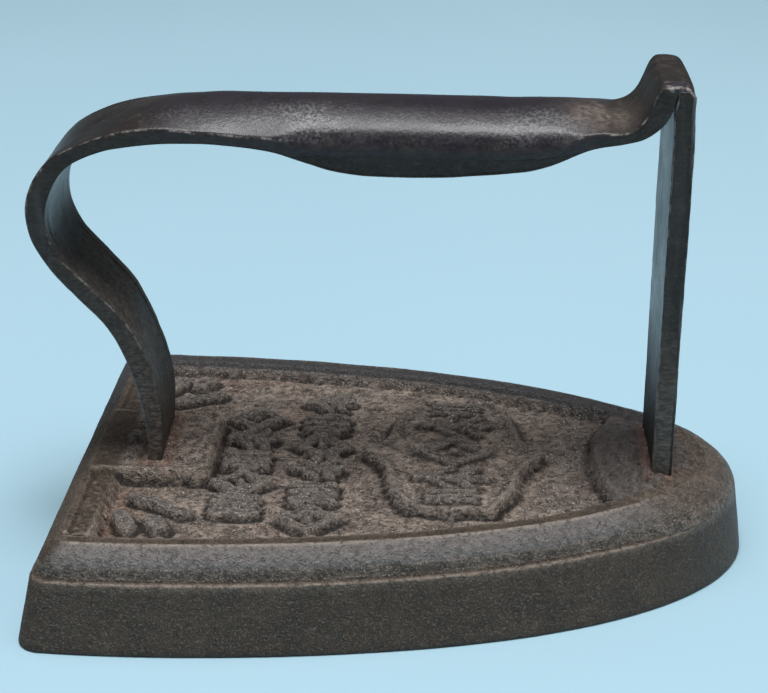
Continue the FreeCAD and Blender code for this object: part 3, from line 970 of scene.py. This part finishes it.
def handle_bar(material):
    """Rear leg, grip and neck, as one forged bar."""
    outer, inner = along_bar(BAR_ROWS)
    thickness = np.hypot(*(outer - inner).T)
    up = (outer - inner) / thickness[:, None]
    station = outer[:, 0]
    level = outer[:, 1]
    climb = np.arange(BAR_ROWS) / (BAR_ROWS - 1.0)
    past_bend = level > PAST_BEND
    crown = blurred(np.where(past_bend, table_at(GRIP_CROWN, station), 0.0), CROWN_BLUR)
    flange = blurred(np.where(past_bend, table_at(GRIP_FLANGE, station), 0.0), FLANGE_BLUR)
    rise = np.stack([station, np.zeros(BAR_ROWS), level], axis=1)
    width = FOOT_HALF_WIDTH + GRIP_WIDENING * smooth(level, 50.0, 95.0) * smooth(climb, 0.1, 0.3)
    width = width + WIDTH_UNEVEN * noise(rise, 12.0, 61) - WIDTH_ALLOWANCE
    width = width - END_NARROWING * smooth(station, 131.5, 133.5)
    round_over = EDGE_ROUND + FLANGE_ROUND * smooth(flange, 0.4, 3.5)
    half = bar_half_section(width, crown, flange, thickness, round_over)
    section = np.concatenate([half, half[-2:0:-1] * np.array([-1.0, 1.0])])
    across = section[:, :, 0].T
    height = section[:, :, 1].T
    head = smooth(station, 127.4, 129.0)[:, None]
    facet = head * (height > FACET_DEPTH) * np.maximum(-across - FACET_START, 0.0)
    height = height - FACET_SLOPE * facet
    grid = np.stack([station[:, None] + up[:, 0][:, None] * height, across,
                     level[:, None] + up[:, 1][:, None] * height], axis=2)

    twist = table_at(REAR_TWIST, level) * smooth(climb, *REAR_HALF)
    skew = HEAD_SKEW * smooth(station, 128.0, 131.5)
    grid[:, :, 0] -= twist[:, None] * (across / FOOT_WIDTH + 0.5)
    grid[:, :, 0] -= skew[:, None] * (across / HEAD_HALF_WIDTH + 1.0)
    on_grip = smooth(crown, 0.5, 3.0)[:, None]
    at_head = smooth(station, 127.0, 129.5)[:, None]
    forged = layers(grid.reshape(-1, 3), FORGED).reshape(grid.shape[:2])
    forged = (forged * (1.0 - GRIP_SMOOTHNESS * on_grip) - FORGED_ALLOWANCE) * (1.0 - at_head)
    normals = grid_normals(grid)
    outward = 1.0 if normals[BAR_ROWS // 2, 0, 2] > 0 else -1.0
    grid = grid + outward * normals * forged[:, :, None]
    grid[:, :, 2] = np.minimum(grid[:, :, 2], TOP)

    looks = bar_looks(outer, grid, height, crown, flange, facet, climb)
    piece = skin("handle_bar", grid, True, material, looks, BAR_WELD)
    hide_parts("rear_leg", "grip", "front_neck")
    return piece


# ---- the front leg

POST_REAR = 130.6
POST_FRONT = 135.1
POST_BOTTOM = 20.0
POST_SHOULDER = 107.0
POST_HEAD = 107.2
POST_TOP = 110.2
POST_ROWS = 240
HEAD_ROWS = 16
POST_HALF_WIDTH = 12.0
POST_WIDENING = 0.95
HEAD_BEVEL = 0.9
REAR_BEVEL = 0.75
POST_CORNER = 0.45
POST_TWIST = 0.022
SECTION_CORNER = 6
LONG_SIDE = 26
SHORT_SIDE = 7
POST_FORGED = [(0.12, 10.0, 71), (0.07, 3.5, 72), (0.03, 1.5, 73)]
POST_ALLOWANCE = 0.08
POST_EDGE_WEAR = 0.55


def post_section(rear, front, half_width):
    """Closed rectangle with rounded corners, as (x, y) points from the far front corner."""
    middle = (rear + front) / 2.0
    corners = ((front, half_width), (rear, half_width), (rear, -half_width), (front, -half_width))
    arcs = []
    for k, (x, y) in enumerate(corners):
        turn = np.radians(90.0 * k) + np.linspace(0.0, math.pi / 2.0, SECTION_CORNER)
        centre = (x - math.copysign(POST_CORNER, x - middle), y - math.copysign(POST_CORNER, y))
        arcs.append(np.stack([np.cos(turn), np.sin(turn)], axis=1) * POST_CORNER + centre)
    points = []
    for k, arc in enumerate(arcs):
        onward = arcs[(k + 1) % 4][0]
        share = np.linspace(0.0, 1.0, (SHORT_SIDE if k % 2 == 0 else LONG_SIDE) + 2)[1:-1, None]
        points += [arc, arc[-1] + (onward - arc[-1]) * share]
    return np.concatenate(points)


def post_looks(levels, columns):
    """Wear on the corners, brown narrow faces and streaked wide faces (the streaks partly painted
    reflection) of the front leg.
    """
    wear = np.zeros((len(levels), columns))
    corner = 0
    for side in (SHORT_SIDE, LONG_SIDE, SHORT_SIDE, LONG_SIDE):
        wear[:, corner + 1:corner + SECTION_CORNER - 1] = POST_EDGE_WEAR
        corner += SECTION_CORNER + side
    narrow_face = np.zeros(columns)
    narrow_face[:SECTION_CORNER + SHORT_SIDE] = 1.0
    opposite = 2 * SECTION_CORNER + SHORT_SIDE + LONG_SIDE
    narrow_face[opposite:opposite + SECTION_CORNER + SHORT_SIDE] = 1.0
    brown = narrow_face * (0.1 + 0.75 * smooth(levels, 70.0, 28.0)[:, None])
    shaded = (1.0 - narrow_face) * smooth(levels, 60.0, 30.0)[:, None]
    plain = np.zeros_like(wear)
    return {"wear": wear, "polish": plain, "brown": brown,
            "streak_and_reflection": (1.0 - shaded) * (1.0 - 0.9 * narrow_face), "dull": shaded, "grip_glints": plain}


def front_leg(material):
    """Upright bar, closed to the neck at its top, with a bevelled, battered head."""
    levels = np.concatenate([np.linspace(POST_BOTTOM, POST_SHOULDER, POST_ROWS),
                             np.linspace(POST_HEAD, POST_TOP, HEAD_ROWS)])
    rows = []
    for z in levels:
        shut = smooth(z, 109.0, POST_TOP)
        rear = POST_REAR + REAR_BEVEL * smooth(z, 105.0, 109.3)
        front = POST_FRONT - HEAD_BEVEL * shut
        half_width = POST_HALF_WIDTH + POST_WIDENING * smooth(z, 24.0, 100.0) - END_NARROWING * shut
        flat = post_section(rear, front, half_width)
        rows.append(np.column_stack([flat, np.full(len(flat), z)]))
    grid = np.array(rows)
    twist = POST_TWIST * smooth(levels, 108.0, 97.0)[:, None]
    grid[:, :, 0] -= twist * grid[:, :, 1]
    skew = HEAD_SKEW * smooth(levels, 101.0, 108.0)[:, None]
    grid[:, :, 0] -= skew * (grid[:, :, 1] / HEAD_HALF_WIDTH + 1.0)
    forged = layers(grid.reshape(-1, 3), POST_FORGED).reshape(grid.shape[:2])
    forged = (forged - POST_ALLOWANCE) * smooth(levels, 108.5, 106.0)[:, None]
    normals = grid_normals(grid)
    outward = 1.0 if normals[POST_ROWS // 2, 0, 0] > 0 else -1.0
    grid = grid + outward * normals * forged[:, :, None]

    looks = post_looks(levels, grid.shape[1])
    piece = skin("front_leg_bar", grid, True, material, looks, BAR_WELD)
    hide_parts("front_leg")
    return piece


# ---- materials

CAST_DARK = (0.050, 0.032, 0.019, 1.0)
CAST_BROWN = (0.086, 0.059, 0.038, 1.0)
# Painted sheen on the bead's upper face.
PAINTED_BEAD_SHEEN = (0.190, 0.172, 0.163, 1.0)
PANEL_DARK = (0.134, 0.099, 0.080, 1.0)
PANEL_PALE = (0.405, 0.322, 0.264, 1.0)
# Grey of the raised ornament, also laid as painted shade over the front pad.
RAISED_GREY_AND_SHADE = (0.116, 0.106, 0.103, 1.0)
# Painted shade on the far side.
FAR_SIDE_SHADE = (0.030, 0.033, 0.039, 1.0)
# Dark pits in the sand grain: dirt with painted shade.
PIT_DIRT_AND_SHADE_BLACK = (0.018, 0.014, 0.012, 1.0)
# Painted glints on the grain.
PAINTED_GLINT = (0.58, 0.53, 0.47, 1.0)
RUST = (0.19, 0.085, 0.046, 1.0)
# Dirt and painted shade in hollows and creases.
DIRT_AND_SHADE_BLACK = (0.012, 0.009, 0.007, 1.0)
WORN_CAST = (0.36, 0.31, 0.26, 1.0)
CAST_IOR = 1.46

SCALE_DARK = (0.012, 0.0095, 0.008, 1.0)
SCALE_BROWN = (0.025, 0.0205, 0.017, 1.0)
SCALE_GREY = (0.062, 0.053, 0.046, 1.0)
FLECK = (0.12, 0.11, 0.10, 1.0)
HAND_POLISH = (0.021, 0.0175, 0.025, 1.0)
# Painted glints on the grip.
GRIP_GLINT_GREY = (0.20, 0.20, 0.205, 1.0)
CRUST_DARK = (0.078, 0.062, 0.053, 1.0)
CRUST_PALE = (0.180, 0.147, 0.124, 1.0)
WORN_BAR = (0.31, 0.285, 0.27, 1.0)
# Pale streaks, partly painted reflection.
STREAK_AND_REFLECTION = (0.235, 0.240, 0.240, 1.0)
ALONG_BAR = (1.0, 1.0, 0.07)
RIPPLED = (0.6, 0.6, 1.5)
BAR_IOR = 1.35

FLOOR_REACH = 4.0
FLOOR_SHADE = (0.345, 0.530, 0.625, 1.0)
FLOOR_TINT = (0.362, 0.548, 0.643, 1.0)
FLOOR_ROUGHNESS = 0.9


class Nodes:
    """Short hand for wiring one material's nodes."""

    def __init__(self, name):
        self.material = bpy.data.materials.new(name)
        self.material.use_nodes = True
        self.tree = self.material.node_tree
        self.shader = self.tree.nodes["Principled BSDF"]
        self.place = self.new("TexCoord").outputs["Object"]

    def wire(self, source, socket):
        """Feeds a socket from a node, or sets its value."""
        if isinstance(source, (int, float, tuple)):
            socket.default_value = source
        else:
            self.tree.links.new(source, socket)

    def new(self, kind, **inputs):
        """New node with inputs fed; an underscore in a name stands for a space."""
        node = self.tree.nodes.new("ShaderNode" + kind)
        for name, source in inputs.items():
            self.wire(source, node.inputs[name.replace("_", " ")])
        return node

    def attribute(self, name):
        """A number painted on the mesh."""
        node = self.new("Attribute")
        node.attribute_name = name
        return node.outputs["Fac"]

    def noise(self, scale, detail=4.0, roughness=0.6, stretch=(1.0, 1.0, 1.0)):
        """Noise over the piece; stretch below 1 draws its lumps out along that axis."""
        where = self.new("Mapping", Vector=self.place, Scale=stretch).outputs["Vector"]
        node = self.new("TexNoise", Vector=where, Scale=scale, Detail=detail, Roughness=roughness)
        return node.outputs["Fac"]

    def ramp(self, source, low, high, out_low=0.0, out_high=1.0):
        """S-curve from out_low at low to out_high at high."""
        node = self.new("MapRange", Value=source, From_Min=low, From_Max=high,
                        To_Min=out_low, To_Max=out_high)
        node.interpolation_type = "SMOOTHSTEP"
        return node.outputs["Result"]

    def math(self, kind, first, second=0.0):
        """One sum, difference or product."""
        node = self.new("Math")
        node.operation = kind
        node.use_clamp = kind in ("MULTIPLY", "ADD")
        self.wire(first, node.inputs[0])
        self.wire(second, node.inputs[1])
        return node.outputs[0]

    def times(self, first, second):
        """Product of two values."""
        return self.math("MULTIPLY", first, second)

    def mix(self, amount, first, second):
        """First colour at 0, second colour at 1."""
        node = self.new("Mix")
        node.data_type = "RGBA"
        self.wire(amount, node.inputs["Factor"])
        self.wire(first, node.inputs["A"])
        self.wire(second, node.inputs["B"])
        return node.outputs["Result"]

    def bump(self, height, distance, strength, under=None):
        """Bump, over another one if there is one."""
        node = self.new("Bump", Strength=strength, Distance=distance, Height=height)
        if under is not None:
            self.wire(under, node.inputs["Normal"])
        return node.outputs["Normal"]

    def finish(self, colour, roughness, normal, ior):
        """Wires the shader of iron under a thin dark skin."""
        self.wire(colour, self.shader.inputs["Base Color"])
        self.wire(roughness, self.shader.inputs["Roughness"])
        self.wire(normal, self.shader.inputs["Normal"])
        self.shader.inputs["Metallic"].default_value = 0.0
        self.shader.inputs["IOR"].default_value = ior
        return self.material


def cast_iron():
    """Brown-black cast iron: sandy grain, worn arrises, dirt and painted shade in the hollows and
    thin rust, with painted sheen, painted glints and painted far-side shade.
    """
    n = Nodes("cast_iron")
    sunk = n.attribute("sunk")
    sheen = n.attribute("sheen")
    cloud = n.noise(90.0, 5.0, 0.65)
    sand = n.noise(700.0, 4.0, 0.65)
    grain = n.noise(2200.0, 2.0, 0.6)
    mottle = n.noise(230.0, 5.0, 0.7)
    colour = n.mix(n.ramp(cloud, 0.35, 0.68), CAST_DARK, CAST_BROWN)
    # Painted sheen on the bead.
    colour = n.mix(sheen, colour, PAINTED_BEAD_SHEEN)
    panel = n.mix(n.ramp(mottle, 0.34, 0.66), PANEL_DARK, PANEL_PALE)
    colour = n.mix(n.times(sunk, 0.95), colour, panel)
    # Raised ornament turns grey, and the front pad takes the same grey as painted shade.
    colour = n.mix(n.times(n.attribute("raised_and_shaded"), 0.8), colour, RAISED_GREY_AND_SHADE)
    # Painted shade over the far side.
    colour = n.mix(n.times(n.attribute("far_shade"), 0.92), colour, FAR_SIDE_SHADE)
    # Pits of the sand grain darkened, on the same noise as the bump: dirt with painted shade.
    pit_dirt_and_shade = n.times(n.ramp(sand, 0.58, 0.36), n.ramp(sunk, 0.0, 1.0, 0.45, 0.75))
    colour = n.mix(pit_dirt_and_shade, colour, PIT_DIRT_AND_SHADE_BLACK)
    # Painted glints: bright specks of colour on the grain, most on the panel.
    painted_glints = n.times(n.ramp(grain, 0.54, 0.68), n.ramp(sunk, 0.0, 1.0, 0.17, 0.8))
    colour = n.mix(painted_glints, colour, PAINTED_GLINT)
    rust = n.times(n.attribute("rust"), n.ramp(n.noise(420.0, 5.0, 0.7), 0.36, 0.6))
    colour = n.mix(rust, colour, RUST)
    # Dirt and painted shade in hollows and creases.
    colour = n.mix(n.times(n.attribute("dirt_and_shade"), 0.95), colour, DIRT_AND_SHADE_BLACK)
    worn = n.times(n.attribute("wear"), n.ramp(sand, 0.25, 0.6))
    colour = n.mix(worn, colour, WORN_CAST)
    roughness = n.math("SUBTRACT", n.ramp(cloud, 0.3, 0.7, 0.42, 0.54), n.times(sheen, 0.16))
    roughness = n.math("ADD", roughness, n.times(n.attribute("matt"), 0.3))
    fine = n.bump(grain, 0.0007, 1.0)
    lumps = n.times(sand, n.ramp(sunk, 0.0, 1.0, 0.55, 1.0))
    return n.finish(colour, roughness, n.bump(lumps, 0.0017, 0.8, fine), CAST_IOR)


def forged_iron():
    """Dark forged bar: scale on the faces, hand polish on the grip and bright worn edges, with
    painted glints, a painted reflection at the neck and streaks that are partly painted reflection.
    """
    n = Nodes("forged_iron")
    polish = n.attribute("polish")
    brown = n.attribute("brown")
    cloud = n.noise(70.0, 5.0, 0.6)
    scale = n.noise(420.0, 5.0, 0.65)
    flecks = n.noise(1500.0, 3.0, 0.6)
    ripple = n.noise(1000.0, 4.0, 0.7, RIPPLED)
    colour = n.mix(n.ramp(cloud, 0.35, 0.7), SCALE_DARK, SCALE_BROWN)
    colour = n.mix(n.ramp(scale, 0.52, 0.70, 0.0, 0.4), colour, SCALE_GREY)
    colour = n.mix(n.ramp(flecks, 0.60, 0.72, 0.0, 0.35), colour, FLECK)
    hands = n.ramp(n.noise(160.0, 4.0, 0.6), 0.25, 0.75, 0.4, 0.95)
    colour = n.mix(n.times(polish, hands), colour, HAND_POLISH)
    # Painted glints in clusters on the grip.
    clusters = n.times(n.ramp(n.noise(90.0, 3.0, 0.6), 0.30, 0.60), n.attribute("grip_glints"))
    glint_amount = n.times(clusters, n.ramp(flecks, 0.38, 0.66))
    colour = n.mix(n.times(glint_amount, 0.9), colour, GRIP_GLINT_GREY)
    # Brown crust, whose colours also paint the reflection at the neck.
    crust_and_reflection = n.mix(n.ramp(ripple, 0.40, 0.62), CRUST_DARK, CRUST_PALE)
    colour = n.mix(n.times(brown, n.ramp(scale, 0.35, 0.6, 0.6, 1.0)), colour, crust_and_reflection)
    worn = n.times(n.attribute("wear"), n.ramp(n.noise(380.0, 4.0, 0.7), 0.44, 0.66))
    colour = n.mix(worn, colour, WORN_BAR)
    # Pale streaks along the legs, partly painted reflection.
    streaks = n.ramp(n.noise(260.0, 4.0, 0.65, ALONG_BAR), 0.48, 0.66)
    streaks = n.times(streaks, n.attribute("streak_and_reflection"))
    colour = n.mix(n.times(streaks, 0.7), colour, STREAK_AND_REFLECTION)
    dull = n.times(n.attribute("dull"), 0.32)
    roughness = n.math("ADD", n.ramp(cloud, 0.3, 0.7, 0.26, 0.38), dull)
    fine = n.bump(n.times(flecks, n.ramp(polish, 0.0, 1.0, 1.0, 0.5)), 0.00022, 0.6)
    lumps = n.times(scale, n.ramp(polish, 0.0, 1.0, 1.0, 0.3))
    lumps = n.math("ADD", lumps, n.times(brown, n.times(ripple, 0.25)))
    return n.finish(colour, roughness, n.bump(lumps, 0.0006, 0.5, fine), BAR_IOR)


def floor():
    """Plain pale ground under the iron."""
    corners = [(x * FLOOR_REACH, y * FLOOR_REACH, 0.0)
               for x, y in ((-1, -1), (1, -1), (1, 1), (-1, 1))]
    mesh = bpy.data.meshes.new("floor")
    mesh.from_pydata(corners, [], [(0, 1, 2, 3)])
    n = Nodes("pale_paper")
    colour = n.mix(n.ramp(n.noise(3.0, 2.0), 0.3, 0.7), FLOOR_SHADE, FLOOR_TINT)
    n.wire(colour, n.shader.inputs["Base Color"])
    n.shader.inputs["Roughness"].default_value = FLOOR_ROUGHNESS
    mesh.materials.append(n.material)
    ground = placed("floor", mesh)


camera_and_lights()
floor()
cast_body(cast_iron())
bar_material = forged_iron()
handle_bar(bar_material)
front_leg(bar_material)
